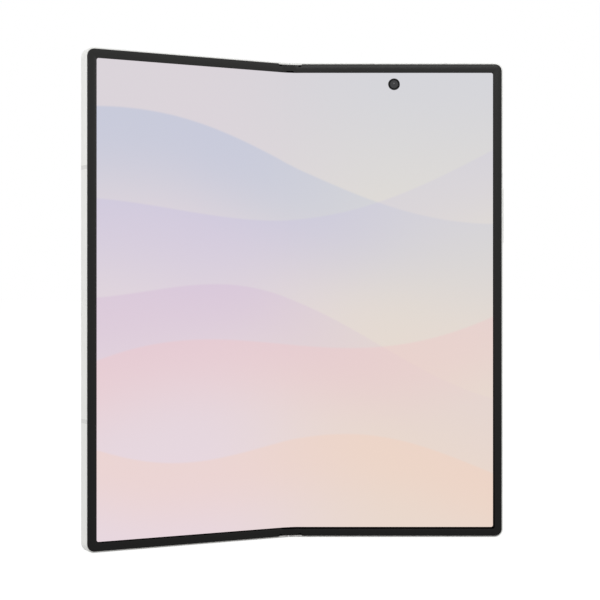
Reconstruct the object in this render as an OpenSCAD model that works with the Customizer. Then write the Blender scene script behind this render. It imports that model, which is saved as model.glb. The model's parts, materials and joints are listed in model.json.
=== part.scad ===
// Foldable smartphone, standing on its bottom edges and opened like a book.
// Each half is drawn flat in its own frame: x runs from the fold to the outer edge, y from the display
// surface to the back, z from the bottom edge to the top. The right half stays put, the spine turns about
// the right axis and the left half turns about the left axis.

/* [Body] */
// Height of the phone, bottom edge to top edge
height = 158.4; // [140:0.1:175]
// Width of one half, fold line to outer edge
half_w = 71.6; // [70:0.1:80]
// Depth of a half, display surface to back face
body_t = 5.2; // [5.2:0.05:6]
// Outline radius of the two outer corners of a half
corner_r = 2.8; // [2.1:0.1:4]
// Rounding along the front and back edges of the side frame
edge_r = 0.6; // [0.3:0.05:0.8]
// Thickness of the side frame's wall
side_wall = 2.0; // [1.8:0.05:2.05]
// Thickness of the glass on the back of each half
glass_t = 0.7; // [0.4:0.05:0.7]
// Width of the frame's lip around the back glass
glass_inset = 0.9; // [0.8:0.05:1.1]
// Thickness of the plate in the middle of each half
mid_plate_t = 0.7; // [0.5:0.05:0.7]
// Width of the plastic antenna breaks in the side frame
break_w = 1.3; // [0.8:0.1:2]

/* [Display] */
// Thickness of the stiffened display panel
panel_t = 1.0; // [0.8:0.05:1]
// Distance from the outer edge to the display panel
panel_inset = 1.6; // [1.55:0.05:1.75]
// Thickness of the bare display where it folds
flex_t = 0.35; // [0.2:0.05:0.35]
// Height of the raised bezel above the display
rim_h = 0.5; // [0.4:0.05:0.6]
// Distance from the half's outer edge to the inner edge of the bezel
rim_w = 3.35; // [2.5:0.05:3.6]
// Step from the frame's outer face in to the bezel
rim_inset = 0.45; // [0.05:0.01:0.6]
// Corner radius of the visible display
screen_r = 0.65; // [0.4:0.05:1]
// Half width of the folding zone
zone_w = 4.4; // [4.4:0.1:5]
// Extra step inwards of the bezel over the folding zone
zone_step = 0.3; // [0.1:0.01:0.5]

/* [Hinge] */
// Angle folded from flat in the rest pose
rest_fold = 27.5; // [0:0.5:60]
// Gap between the two side frames at the fold
seam_gap = 0.3; // [0.2:0.05:0.5]
// Gap between the two bezels when closed
closed_gap = 0.3; // [0.2:0.05:0.5]
// Distance from the fold line to each turning axis
axis_x = 2.0; // [1.95:0.05:2.1]
// Outer radius of the spine about each axis
spine_r = 3.2; // [3:0.05:3.2]
// Wall thickness of the spine cover
spine_wall = 0.5; // [0.3:0.05:0.5]
// Gap between the spine and the halves
cavity_gap = 0.15; // [0.1:0.01:0.2]
// Inner radius of the sliding arcs
arc_r = 1.7; // [1.6:0.05:1.75]
// Thickness of the sliding arcs
arc_t = 0.55; // [0.4:0.05:0.6]
// Running clearance in the hinge, on the radius
hinge_run = 0.05; // [0.03:0.01:0.08]
// Height of the hinge modules' lower ends above the bottom edge and below the top edge
module_z = 20; // [12:1:26]
// Radius of the gear shafts
shaft_r = 0.35; // [0.3:0.01:0.4]
// Pitch radius of the four timing gears
gear_r = 0.8; // [0.78:0.01:0.82]
// Number of teeth on each timing gear
gear_teeth = 10; // [10:2:10]

/* [Keys and tray] */
// Length of the volume key
volume_len = 18.8; // [14:0.1:22]
// Distance from the top edge to the volume key
volume_drop = 41.4; // [38:0.1:42]
// Length of the side key
side_key_len = 13.1; // [10:0.1:16]
// Distance from the lower end of the volume key to the side key
side_key_drop = 8.2; // [6:0.1:12]
// Width of the keys
key_w = 2.2; // [1.6:0.1:2.4]
// Height of the volume key above the frame
volume_proud = 0.33; // [0.3:0.01:0.5]
// Height of the side key above the frame
side_key_proud = 0.06; // [0.02:0.01:0.2]
// Clearance around the keys and the card tray
key_gap = 0.08; // [0.05:0.01:0.12]
// Travel of a key
key_travel = 0.25; // [0.15:0.01:0.3]
// Width of the card tray
tray_w = 13.2; // [12.8:0.1:14]

/* [Cameras] */
// Distance from the fold to the inner camera
inner_cam_x = 35.2; // [30:0.1:45]
// Distance from the top edge to the inner camera
inner_cam_drop = 7.1; // [6.6:0.01:7.5]
// Radius of the hole in the display for the inner camera
inner_cam_r = 2.0; // [1.6:0.05:2.2]
// Height of the camera island above the back
island_h = 1.2; // [0.8:0.1:2]
// Half width of the camera island
island_r = 8; // [7.5:0.1:8.5]
// Distance from the outer edge to the middle of the island
island_in = 12; // [11.5:0.1:13]
// Distance between the rear cameras
cam_pitch = 16; // [15:0.5:17]
// Radius of a rear camera's barrel
cam_r = 5.2; // [4.5:0.1:5.4]
// Height of the lens rings above the island
ring_h = 0.6; // [0.3:0.1:1]

/* [Hidden] */

// Colours
frame_white = [0.90, 0.90, 0.88];
bezel_black = [0.12, 0.12, 0.12];
screen_tint = [0.87, 0.84, 0.86];
steel_grey = [0.62, 0.63, 0.65];
board_green = [0.10, 0.28, 0.20];
part_black = [0.08, 0.08, 0.09];
brass_tone = [0.72, 0.60, 0.35];

// Places of the antenna breaks
high_break_drop = 37.6;
low_break_drop = 117.2;
inner_break_x = 27.8;
outer_break_x = 52.3;
right_side_breaks = [height - high_break_drop];
right_top_breaks = [inner_break_x, outer_break_x];
left_side_breaks = [height - high_break_drop, height - low_break_drop];

// Facets
fine = 96;
plain = 48;

// Small clearances between pieces that are fixed to each other
glue = 0.05;
eps = 0.01;

// Turning axes in the flat spine frame
axis_y = axis_x - rim_h - closed_gap / 2;
right_axis = [axis_x, axis_y];
left_axis = [-axis_x, axis_y];
rest_turn = rest_fold / 2;

// Depths, measured from the display surface
plate_y0 = panel_t + glue;
plate_y1 = plate_y0 + mid_plate_t;
glass_y0 = body_t - glass_t;
bay_y0 = plate_y1 + glue;
bay_y1 = glass_y0 - glue;
spine_back = axis_y + spine_r;
skirt_y0 = spine_back + cavity_gap;
arm_y0 = panel_t + glue;
arm_y1 = arm_y0 + 0.6;
spine_front = arm_y1 + 0.1;

// Widths, measured from the fold line
cavity_r = spine_r + cavity_gap;
rail_x = axis_x + cavity_r;
rail_w = 0.95;
bay_x0 = rail_x + rail_w;
bay_x1 = half_w - side_wall;
glass_x1 = half_w - glass_inset;
bay_z0 = side_wall;
bay_z1 = height - side_wall;

// Corner radii of what lies inside the frame
plate_corner = max(0.5, corner_r - side_wall);
panel_corner = max(0.5, corner_r - panel_inset + glue);
glass_corner = corner_r - glass_inset;

// Hinge modules: heights inside one module, from its lower end
wall_z = 1;
washer_stack = 3.5;
right_arc_z = [wall_z, wall_z + 6];
left_arc_z = [right_arc_z[1] + wall_z, right_arc_z[1] + wall_z + 6];
gear_z = [left_arc_z[1] + 1.5, left_arc_z[1] + 4.5];
washer_z = [gear_z[1] + wall_z, gear_z[1] + wall_z + washer_stack];
module_len = washer_z[1] + wall_z;
module_starts = [module_z, height - module_z - module_len];
arc_end_gap = 0.3;
gear_end_gap = 0.2;
arc_sweep = 130;
guide_r = arc_r + arc_t;
cover_in_r = spine_r - spine_wall;
base_r = cover_in_r - glue;
boss_r = 0.75;
arm_x1 = bay_x0 + 3.2;
spine_z0 = side_wall + 0.3;
spine_z1 = height - side_wall - 0.3;
cap_len = 1;
washer_count = 5;
washer_r = 0.85;

// Timing gears: idlers sit behind the axes so that every centre distance is two pitch radii
idler_x = gear_r;
idler_y = axis_y + sqrt(pow(2 * gear_r, 2) - pow(axis_x - idler_x, 2));
tooth_h = 0.15;
tooth_root = 0.20;
tooth_pitch = 360 / gear_teeth;
idler_shaft_r = 0.28;
mesh_angle = atan2(idler_y - axis_y, idler_x - axis_x);

// Keys
key_y = body_t / 2;
flange_t = 0.6;
flange_w = 0.45;
flange_h = 1.4;
stem_step = 0.2;
volume_z = height - volume_drop - volume_len / 2;
side_key_z = volume_z - volume_len / 2 - side_key_drop - side_key_len / 2;
key_floor = half_w - side_wall - flange_t - glue;
key_cap_x = half_w - side_wall + key_travel + glue;

// Charging socket
usb_x = half_w / 2;
usb_w = 9.0;
usb_t = 3.2;
usb_wall = 0.32;
usb_len = 7.5;

// Rear cameras
island_x = half_w - island_in;
cam_zs = [height - 14, height - 14 - cam_pitch, height - 14 - 2 * cam_pitch];
island_y1 = body_t + island_h;

// Card tray
tray_t = 1.1;
tray_len = 15;
reader_room = 0.1;
reader_wall = 0.2;
tray_x = bay_x0 + 13.2;
tray_y = bay_y0 + tray_t / 2 + reader_room + reader_wall + glue;
door_w = tray_w + 0.8;
door_t = tray_t + 0.7;

// What lies inside the right half: low and high corners seen from the front
battery_t = 2.4;
pack_drop = 62.4;
pack_x0 = bay_x0 + 0.8;
pack_x1 = half_w - 13.3;
right_pack_z = [24, height - pack_drop];
coil_r = [12, 22];
camera_half = 6;
board_t = 0.6;
board_screw_r = 0.7;
screw_head_r = 1.2;
board_drop = 58.4;
board_side = 2.2;
main_low = [bay_x0 + board_side, height - board_drop];
main_high = [island_x - camera_half - 1.3, height - 12.4];
sub_low = [usb_x - 11.65, usb_len + 1.5];
sub_high = [usb_x + 7.35, usb_len + 13];
right_screws = [
  for (x = [main_low[0] + 2.5, main_high[0] - 3], z = [main_low[1] + 3, main_high[1] - 3]) [x, z],
  [sub_low[0] + 2.5, sub_high[1] - 2.5],
  [sub_high[0] - 2.5, sub_low[1] + 2.5]
];
flash_x = island_x - 13.3;
flash_z = height - 22;
flash_r = 2;
speaker_x = [usb_x + 9.35, bay_x1 - 3.3];
sound_pitch = 3;
sound_r = 0.5;
mic_r = 0.4;
magnet_w = 4;
magnet_t = 1.5;
magnet_x = half_w - 10.3;
magnet_spans = [[26, 46], [58, 72]];

// What lies inside the left half
cover_panel_y0 = glass_y0 - glue - 0.45;
cover_cam_x = (bay_x0 + glass_x1) / 2;
cover_cam_z = height - 8;
cover_cam_r = 1.9;
left_pack_drop = 48.4;
left_board_drop = 44.4;
left_pack_z = [30, height - left_pack_drop];
left_low = [bay_x0 + board_side, height - left_board_drop];
left_high = [half_w - 19.3, bay_z1 - tray_len - 5.4];
left_screws = [
  for (x = [left_low[0] + 2.5, left_high[0] - 3], z = [left_low[1] + 3, left_high[1] - 3]) [x, z]
];
ear_x = [half_w - 25.3, half_w - 10.3];

// Flat cable through the spine
flex_z = height / 2;
flex_w = 14;
flex_x1 = 10;
cable_t = 0.15;

// The whole part is set so that the middle of its footprint is the origin
function turned(p, c, a) = [
  c[0] + cos(a) * (p[0] - c[0]) - sin(a) * (p[1] - c[1]),
  c[1] + sin(a) * (p[0] - c[0]) + cos(a) * (p[1] - c[1])
];
function left_point(u, y) = turned(turned([-u, y], left_axis, rest_turn), right_axis, rest_turn);
x_low = left_point(half_w - edge_r, body_t - edge_r)[0] - edge_r;
x_high = half_w + volume_proud;
y_low = left_point(half_w - rim_inset, -rim_h)[1];
y_high = island_y1 + ring_h;
shift = [-(x_low + x_high) / 2, -(y_low + y_high) / 2, 0];

// ---------------------------------------------------------------- frames of reference

module turn(at, angle) {
  translate([at[0], at[1], 0])
    rotate([0, 0, angle])
      translate([-at[0], -at[1], 0])
        children();
}

module in_right() {
  translate(shift)
    children();
}

module in_spine() {
  in_right()
    turn(right_axis, rest_turn)
      children();
}

module in_left() {
  in_spine()
    turn(left_axis, rest_turn)
      mirror([1, 0, 0])
        children();
}

// ---------------------------------------------------------------- shared shapes

// A block between two opposite corners
module block(low, high) {
  translate(low)
    cube(high - low);
}

// Outline of a half seen from the front, set in from its outer edges
module half_plan(inset, from_x, r) {
  far_x = half_w - inset;
  top_z = height - inset;
  translate([from_x, inset])
    square([far_x - r - from_x, top_z - inset]);
  translate([from_x, inset + r])
    square([far_x - from_x, top_z - inset - 2 * r]);
  for (z = [inset + r, top_z - r])
    translate([far_x - r, z])
      circle(r = r, $fn = plain);
}

// A plate of that outline between two depths
module half_slab(inset, from_x, r, y0, y1) {
  translate([0, y1, 0])
    rotate([90, 0, 0])
      linear_extrude(height = y1 - y0)
        half_plan(inset, from_x, r);
}

// A bar with round ends that runs along z, pushed out along x
module key_bar(len, wide, x0, x1, z) {
  translate([x0, key_y, z])
    rotate([0, 90, 0])
      linear_extrude(height = x1 - x0)
        stadium(len, wide);
}

// A flat shape with two round ends, long in x
module stadium(len, wide) {
  square([len - wide, wide], center = true);
  for (s = [-1, 1])
    translate([s * (len - wide) / 2, 0])
      circle(d = wide, $fn = plain);
}

// A cylinder along y between two depths
module post(x, z, r, y0, y1) {
  translate([x, y1, z])
    rotate([90, 0, 0])
      cylinder(r = r, h = y1 - y0, $fn = plain);
}

// A round hole through the bottom or top wall
module wall_hole(x, y, r, z0) {
  translate([x, y, z0 - eps])
    cylinder(r = r, h = side_wall + 2 * eps, $fn = 24);
}

// ---------------------------------------------------------------- side frame

// Section of the side wall: x is the distance in from the outer face, y the depth
module wall_section() {
  difference() {
    union() {
      translate([edge_r, 0])
        square([side_wall - edge_r, body_t]);
      translate([0, edge_r])
        square([side_wall, body_t - 2 * edge_r]);
      for (y = [edge_r, body_t - edge_r])
        translate([edge_r, y])
          circle(r = edge_r, $fn = plain);
    }
    translate([panel_inset - glue, -1])
      square([side_wall, plate_y0 + 1]);
    translate([glass_inset, glass_y0 - glue])
      square([side_wall, body_t]);
  }
}

// The wall along the outer side, the top and the bottom, and the two outer corners
module wall_ring() {
  translate([half_w, 0, corner_r])
    mirror([1, 0, 0])
      linear_extrude(height = height - 2 * corner_r)
        wall_section();
  for (top = [0, 1])
    translate([0, 0, top * height])
      mirror([0, 0, top]) {
        translate([half_w - corner_r, 0, 0])
          rotate([0, -90, 0])
            linear_extrude(height = half_w - corner_r - seam_gap / 2)
              wall_section();
        translate([half_w - corner_r, 0, corner_r])
          rotate([-90, 0, 0])
            rotate_extrude(angle = 90, $fn = fine)
              translate([corner_r, 0])
                mirror([1, 0])
                  wall_section();
      }
}

// Rail beside the fold, with the thin skirt that covers the spine when the phone is open
module hinge_rail() {
  difference() {
    block([seam_gap / 2, spine_front, side_wall - eps], [bay_x0, body_t, height - side_wall + eps]);
    translate([axis_x, axis_y, 0])
      cylinder(r = cavity_r, h = height, $fn = fine);
    block([-1, 0, 0], [axis_x, skirt_y0, height]);
  }
}

// Room at the fold for the front corner to swing past the other half
module seam_relief() {
  swing = axis_x - seam_gap / 2;
  difference() {
    block([-1, -1, -1], [axis_x, axis_y, height + 1]);
    translate([axis_x, axis_y, -2])
      cylinder(r = swing, h = height + 4, $fn = fine);
  }
}

module bare_frame() {
  difference() {
    union() {
      wall_ring();
      hinge_rail();
    }
    seam_relief();
    arm_screw_holes(spine_front, spine_front + 1.4);
  }
}

// Slabs where the frame is interrupted for the antennas
module side_break(z) {
  block([half_w - side_wall - 1, -1, z - break_w / 2], [half_w + 1, body_t + 1, z + break_w / 2]);
}

module top_break(x) {
  block([x - break_w / 2, -1, height - side_wall - eps], [x + break_w / 2, body_t + 1, height + 1]);
}

module right_break_slabs() {
  for (z = right_side_breaks)
    side_break(z);
  for (x = right_top_breaks)
    top_break(x);
}

module left_break_slabs() {
  for (z = left_side_breaks)
    side_break(z);
}

module right_frame() {
  color(frame_white)
    in_right()
      difference() {
        bare_frame();
        right_break_slabs();
        key_bar(volume_len + 2 * key_gap, key_w + 2 * key_gap, half_w - side_wall - 1, half_w + 1, volume_z);
        key_bar(side_key_len + 2 * key_gap, key_w + 2 * key_gap, half_w - side_wall - 1, half_w + 1,
          side_key_z);
        translate([usb_x, key_y, -1])
          linear_extrude(height = side_wall + 2)
            stadium(usb_w + 2 * glue, usb_t + 2 * glue);
        for (i = [1:5])
          wall_hole(speaker_x[0] + sound_pitch * i, key_y, sound_r, 0);
        wall_hole(usb_x - 11.65, key_y, mic_r, 0);
        wall_hole(usb_x + 4.35, key_y, mic_r, height - side_wall);
      }
}

module right_antenna_breaks() {
  color([0.80, 0.80, 0.78])
    in_right()
      intersection() {
        bare_frame();
        right_break_slabs();
      }
}

module left_frame() {
  color(frame_white)
    in_left()
      difference() {
        bare_frame();
        left_break_slabs();
        translate([tray_x, tray_y, height - side_wall - 1])
          linear_extrude(height = side_wall + 2)
            stadium(door_w + 2 * key_gap, door_t + 2 * key_gap);
        for (i = [1:4])
          wall_hole(ear_x[0] + sound_pitch * i, key_y, sound_r, height - side_wall);
        wall_hole(half_w / 2 - 5.65, key_y, mic_r, 0);
      }
}

module left_antenna_breaks() {
  color([0.80, 0.80, 0.78])
    in_left()
      intersection() {
        bare_frame();
        left_break_slabs();
      }
}

// ---------------------------------------------------------------- plates, panels and glass

// Middle plate, notched for the hinge arms and the flat cable
module mid_plate() {
  difference() {
    half_slab(side_wall + glue, rail_x, plate_corner, plate_y0, plate_y1);
    for (z = module_starts)
      block([0, 0, z - 0.5], [arm_x1 + 0.3, body_t, z + module_len + 0.5]);
    block([0, 0, flex_z - flex_w / 2 - 0.5], [flex_x1 + 0.3, body_t, flex_z + flex_w / 2 + 0.5]);
  }
}

module right_mid_plate() {
  color(steel_grey)
    in_right()
      difference() {
        mid_plate();
        post(inner_cam_x, height - inner_cam_drop, inner_cam_r + 0.4, 0, body_t);
        block([usb_x - usb_w / 2 - 0.3, 0, 0], [usb_x + usb_w / 2 + 0.3, body_t, usb_len + 0.6]);
        board_screw_posts(right_screws, board_screw_r + glue, plate_y0 - 1, plate_y1 + 1);
      }
}

module left_mid_plate() {
  color(steel_grey)
    in_left()
      difference() {
        mid_plate();
        board_screw_posts(left_screws, board_screw_r + glue, plate_y0 - 1, plate_y1 + 1);
      }
}

module display_panel() {
  half_slab(panel_inset, zone_w, panel_corner, 0, panel_t);
}

module right_display_panel() {
  color(screen_tint)
    in_right()
      difference() {
        display_panel();
        post(inner_cam_x, height - inner_cam_drop, inner_cam_r, -1, panel_t + 1);
      }
}

module left_display_panel() {
  color(screen_tint)
    in_left()
      display_panel();
}

module bezel() {
  difference() {
    half_slab(rim_inset, zone_w, corner_r - rim_inset, -rim_h, 0);
    half_slab(rim_w, 0, screen_r, -rim_h - 1, 1);
  }
}

module right_bezel() {
  color(bezel_black)
    in_right()
      bezel();
}

module left_bezel() {
  color(bezel_black)
    in_left()
      bezel();
}

module back_glass() {
  half_slab(glass_inset + glue, bay_x0 + glue, glass_corner, glass_y0, body_t);
}

module right_back_glass() {
  color([0.93, 0.93, 0.91])
    in_right()
      difference() {
        back_glass();
        for (z = cam_zs)
          post(island_x, z, cam_r + 0.15, glass_y0 - 1, body_t + 1);
        post(flash_x, flash_z, flash_r + glue, glass_y0 - 1, body_t + 1);
      }
}

module cover_glass() {
  color([0.05, 0.05, 0.06])
    in_left()
      back_glass();
}

module cover_display() {
  color(part_black)
    in_left()
      difference() {
        half_slab(side_wall + 0.4, bay_x0 + 0.4, 1, cover_panel_y0, glass_y0 - glue);
        post(cover_cam_x, cover_cam_z, cover_cam_r + 0.1, 0, body_t);
      }
}

// ---------------------------------------------------------------- right half, inside

module right_battery() {
  color(part_black)
    in_right()
      block([pack_x0, bay_y0, right_pack_z[0]], [pack_x1, bay_y0 + battery_t, right_pack_z[1]]);
}

module charging_coil() {
  coil_y = bay_y0 + battery_t + glue;
  coil_x = (pack_x0 + pack_x1) / 2;
  coil_z = (right_pack_z[0] + right_pack_z[1]) / 2;
  color(brass_tone)
    in_right()
      difference() {
        post(coil_x, coil_z, coil_r[1], coil_y, bay_y1);
        post(coil_x, coil_z, coil_r[0], coil_y - 1, bay_y1 + 1);
      }
}

module board_screw_posts(places, r, y0, y1) {
  for (p = places)
    post(p[0], p[1], r, y0, y1);
}

module board(low, high, screws) {
  difference() {
    block([low[0], bay_y0, low[1]], [high[0], bay_y0 + board_t, high[1]]);
    board_screw_posts(screws, board_screw_r + glue, 0, body_t);
  }
}

module board_screws(places) {
  board_screw_posts(places, board_screw_r, plate_y0 + 0.1, bay_y0 + board_t + glue);
  board_screw_posts(places, screw_head_r, bay_y0 + board_t + glue, bay_y0 + board_t + 0.4);
}

module main_board() {
  color(board_green)
    in_right()
      board(main_low, main_high, right_screws);
}

module sub_board() {
  color(board_green)
    in_right()
      board(sub_low, sub_high, right_screws);
}

// Pressed cans over the chips, placed from the board's lower corner
module board_shields() {
  y0 = bay_y0 + board_t + glue;
  y1 = y0 + 1.3;
  can = 0.2;
  color(steel_grey)
    in_right()
      translate([main_low[0], 0, main_low[1]])
        for (c = [[5.5, 6, 21.5, 24], [23.5, 6, 37.5, 34], [5.5, 26, 21.5, 42]])
          difference() {
            block([c[0], y0, c[1]], [c[2], y1, c[3]]);
            block([c[0] + can, y0 - 1, c[1] + can], [c[2] - can, y1 - can, c[3] - can]);
          }
}

module inner_camera() {
  z = height - inner_cam_drop;
  color(part_black)
    in_right() {
      post(inner_cam_x, z, inner_cam_r - 0.08, 0.3, bay_y0 + 0.1);
      block([inner_cam_x - 4, bay_y0, z - 4], [inner_cam_x + 4, bay_y0 + 2.2, z + 4]);
    }
}

module inner_camera_lens() {
  color([0.25, 0.25, 0.27])
    in_right()
      post(inner_cam_x, height - inner_cam_drop, inner_cam_r - 0.08, 0.05, 0.29);
}

module camera_island() {
  color([0.93, 0.93, 0.91])
    in_right()
      difference() {
        translate([island_x, island_y1, (cam_zs[0] + cam_zs[2]) / 2])
          rotate([90, 90, 0])
            linear_extrude(height = island_h)
              stadium(2 * cam_pitch + 2 * island_r, 2 * island_r);
        for (z = cam_zs)
          post(island_x, z, cam_r + 0.15, body_t - 1, island_y1 + 1);
      }
}

module rear_cameras() {
  color(part_black)
    in_right()
      for (z = cam_zs) {
        block([island_x - camera_half, bay_y0, z - camera_half],
          [island_x + camera_half, bay_y1, z + camera_half]);
        post(island_x, z, cam_r, bay_y1 - eps, island_y1 - 0.25);
      }
}

module lens_rings() {
  color(steel_grey)
    in_right()
      for (z = cam_zs)
        difference() {
          post(island_x, z, cam_r + 1.3, island_y1, island_y1 + ring_h);
          post(island_x, z, cam_r - 0.6, island_y1 - 1, island_y1 + ring_h + 1);
        }
}

module lens_glasses() {
  color([0.06, 0.07, 0.09])
    in_right()
      for (z = cam_zs)
        post(island_x, z, cam_r - 0.65, island_y1 - 0.2, island_y1 + ring_h - 0.15);
}

module flash_lamp() {
  color([0.95, 0.93, 0.80])
    in_right()
      post(flash_x, flash_z, flash_r, bay_y1 - 0.3, body_t);
}

module loudspeaker() {
  color(part_black)
    in_right()
      block([speaker_x[0], bay_y0, bay_z0 + 0.6], [speaker_x[1], bay_y0 + 2.3, bay_z0 + 17]);
}

module usb_shell() {
  color(steel_grey)
    in_right()
      translate([usb_x, key_y, 0.15])
        difference() {
          linear_extrude(height = usb_len)
            stadium(usb_w, usb_t);
          translate([0, 0, -1])
            linear_extrude(height = usb_len + 1 - usb_wall)
              stadium(usb_w - 2 * usb_wall, usb_t - 2 * usb_wall);
        }
}

module usb_tongue() {
  color(part_black)
    in_right()
      block([usb_x - 3.35, key_y - 0.35, 1.0], [usb_x + 3.35, key_y + 0.35, usb_len + 0.15 - usb_wall]);
}

module vibration_motor() {
  color(steel_grey)
    in_right()
      block([bay_x0 + 4, bay_y0, 6], [bay_x0 + 13, bay_y0 + 2.3, 17]);
}

// Dome switches on a strip behind the keys
module key_switches() {
  strip_x = key_floor - key_travel - 0.9;
  color(brass_tone)
    in_right() {
      block([strip_x - 0.3, key_y - flange_h / 2, side_key_z - 9], [strip_x, key_y + flange_h / 2, volume_z + 9]);
      for (z = [side_key_z, volume_z - volume_len / 4, volume_z + volume_len / 4])
        translate([strip_x - eps, key_y, z])
          rotate([0, 90, 0])
            cylinder(r = flange_h / 2, h = 0.8, $fn = plain);
    }
}

// A key: the cap in the frame's slot, its stem, and the flange whose ends keep it in
module key(len, proud, z) {
  key_bar(len, key_w, key_cap_x, half_w + proud, z);
  key_bar(len - stem_step, flange_h - stem_step, key_floor + flange_t / 2, key_cap_x + key_gap, z);
  key_bar(len + 2 * flange_w, flange_h, key_floor, half_w - side_wall - glue, z);
}

module volume_key() {
  color(frame_white)
    in_right()
      key(volume_len, volume_proud, volume_z);
}

module side_key() {
  color(frame_white)
    in_right()
      key(side_key_len, side_key_proud, side_key_z);
}

module magnets() {
  for (z = magnet_spans)
    block([magnet_x, bay_y0, z[0]], [magnet_x + magnet_w, bay_y0 + magnet_t, z[1]]);
}

module right_magnets() {
  color(steel_grey)
    in_right()
      magnets();
}

// ---------------------------------------------------------------- hinge

// Section of the spine: arcs about both axes, flat between them, open to the front
module spine_section(r) {
  difference() {
    union() {
      for (s = [-1, 1])
        translate([s * axis_x, axis_y])
          circle(r = r, $fn = fine);
      translate([-axis_x, axis_y])
        square([2 * axis_x, r]);
    }
    translate([-20, spine_front - 20])
      square([40, 20]);
  }
}

module spine_cover() {
  color(frame_white)
    in_spine()
      translate([0, 0, spine_z0])
        linear_extrude(height = spine_z1 - spine_z0)
          difference() {
            spine_section(spine_r);
            spine_section(cover_in_r);
          }
}

module spine_end_caps() {
  color(frame_white)
    in_spine()
      for (z = [spine_z0, spine_z1 - cap_len])
        translate([0, 0, z])
          linear_extrude(height = cap_len)
            spine_section(base_r);
}

// Ring-shaped channel for a sliding arc
module arc_channel(at, span) {
  translate([at[0], at[1], span[0]])
    difference() {
      cylinder(r = guide_r + hinge_run, h = span[1] - span[0], $fn = fine);
      translate([0, 0, -1])
        cylinder(r = arc_r - hinge_run, h = span[1] - span[0] + 2, $fn = fine);
    }
}

module shaft_places() {
  for (s = [-1, 1]) {
    translate([s * axis_x, axis_y, 0])
      children(0);
    translate([s * idler_x, idler_y, 0])
      children(1);
  }
}

module hinge_base() {
  difference() {
    union() {
      linear_extrude(height = module_len)
        spine_section(base_r);
      for (z = [gear_z[0] - wall_z, gear_z[1], washer_z[1]])
        for (s = [-1, 1])
          translate([s * axis_x, axis_y, z])
            cylinder(r = boss_r, h = wall_z, $fn = plain);
    }
    arc_channel(right_axis, right_arc_z);
    arc_channel(left_axis, left_arc_z);
    block([-10, 0, gear_z[0]], [10, 10, gear_z[1]]);
    for (s = [-1, 1])
      translate([s * axis_x, axis_y, washer_z[0]])
        cylinder(r = washer_r + 0.1, h = washer_z[1] - washer_z[0], $fn = plain);
    shaft_places() {
      translate([0, 0, gear_z[0] - wall_z])
        cylinder(r = shaft_r + glue, h = module_len, $fn = plain);
      translate([0, 0, gear_z[0] - wall_z])
        cylinder(r = idler_shaft_r + glue, h = gear_z[1] - gear_z[0] + 2 * wall_z, $fn = plain);
    }
  }
}

module hinge_bases() {
  color(steel_grey)
    in_spine()
      for (z = module_starts)
        translate([0, 0, z])
          hinge_base();
}

module gear_shafts() {
  color(steel_grey)
    in_spine()
      for (z = module_starts)
        translate([0, 0, z + gear_z[0] - wall_z])
          shaft_places() {
            cylinder(r = shaft_r, h = module_len - gear_z[0] + wall_z - 0.1, $fn = plain);
            cylinder(r = idler_shaft_r, h = gear_z[1] - gear_z[0] + 2 * wall_z - 0.1, $fn = plain);
          }
}

module friction_washers() {
  pitch = (washer_z[1] - washer_z[0]) / washer_count;
  color(brass_tone)
    in_spine()
      for (z = module_starts)
        for (s = [-1, 1])
          for (i = [0:washer_count - 1])
            translate([s * axis_x, axis_y, z + washer_z[0] + (i + 0.15) * pitch])
              difference() {
                cylinder(r = washer_r, h = 0.7 * pitch, $fn = plain);
                translate([0, 0, -1])
                  cylinder(r = shaft_r + glue, h = pitch + 2, $fn = plain);
              }
}

// Timing gear with one tooth pointing along the given angle
module gear(first_tooth, bore) {
  root = gear_r - tooth_root;
  tip = gear_r + tooth_h;
  linear_extrude(height = gear_z[1] - gear_z[0] - 2 * gear_end_gap)
    difference() {
      union() {
        circle(r = root, $fn = plain);
        for (i = [0:gear_teeth - 1])
          rotate([0, 0, first_tooth + i * tooth_pitch])
            polygon([[root - 0.1, -0.14], [tip, -0.06], [tip, 0.06], [root - 0.1, 0.14]]);
      }
      circle(r = bore, $fn = plain);
    }
}

// One half's sliding arc, timing gear and the plate that joins them to the rail
module hinge_arm(span, first_tooth) {
  arm_z0 = span[0] + arc_end_gap;
  arm_z1 = span[1] - arc_end_gap;
  cog_z0 = gear_z[0] + gear_end_gap;
  cog_z1 = gear_z[1] - gear_end_gap;
  translate([axis_x, axis_y, arm_z0])
    rotate_extrude(angle = arc_sweep, $fn = fine)
      translate([arc_r, 0])
        square([arc_t, arm_z1 - arm_z0]);
  block([axis_x + arc_r + 0.1, arm_y0, arm_z0], [rail_x + 0.2, arm_y1, arm_z1]);
  translate([axis_x, axis_y, cog_z0])
    gear(first_tooth, shaft_r + hinge_run);
  block([axis_x + gear_r - 0.25, arm_y0, cog_z0], [rail_x + 0.2, arm_y1, cog_z1]);
  difference() {
    block([rail_x + 0.1, arm_y0, arm_z0], [arm_x1, arm_y1, cog_z1]);
    for (p = arm_screw_places(span))
      post(p[0], p[1], hinge_screw_r + glue, 0, body_t);
  }
}

hinge_screw_r = 0.3;

function arm_screw_places(span) = [
  for (z = [span[0] + 1.5, span[1] + 1, gear_z[1] - 1.2])
    [rail_x + rail_w / 2 + 0.05, z]
];

// Blind holes in the rail for both kinds of arm
module arm_screw_holes(y0, y1) {
  for (z = module_starts)
    for (span = [right_arc_z, left_arc_z])
      for (p = arm_screw_places(span))
        post(p[0], z + p[1], hinge_screw_r + glue, y0 - 1, y1);
}

module hinge_screws(span) {
  for (z = module_starts)
    for (p = arm_screw_places(span))
      post(p[0], z + p[1], hinge_screw_r, arm_y0 + 0.05, spine_front + 1.3);
}

module right_hinge_arms() {
  color(steel_grey)
    in_right()
      for (z = module_starts)
        translate([0, 0, z])
          hinge_arm(right_arc_z, mesh_angle);
}

module left_hinge_arms() {
  color(steel_grey)
    in_left()
      for (z = module_starts)
        translate([0, 0, z])
          hinge_arm(left_arc_z, mesh_angle + tooth_pitch / 2);
}

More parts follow.
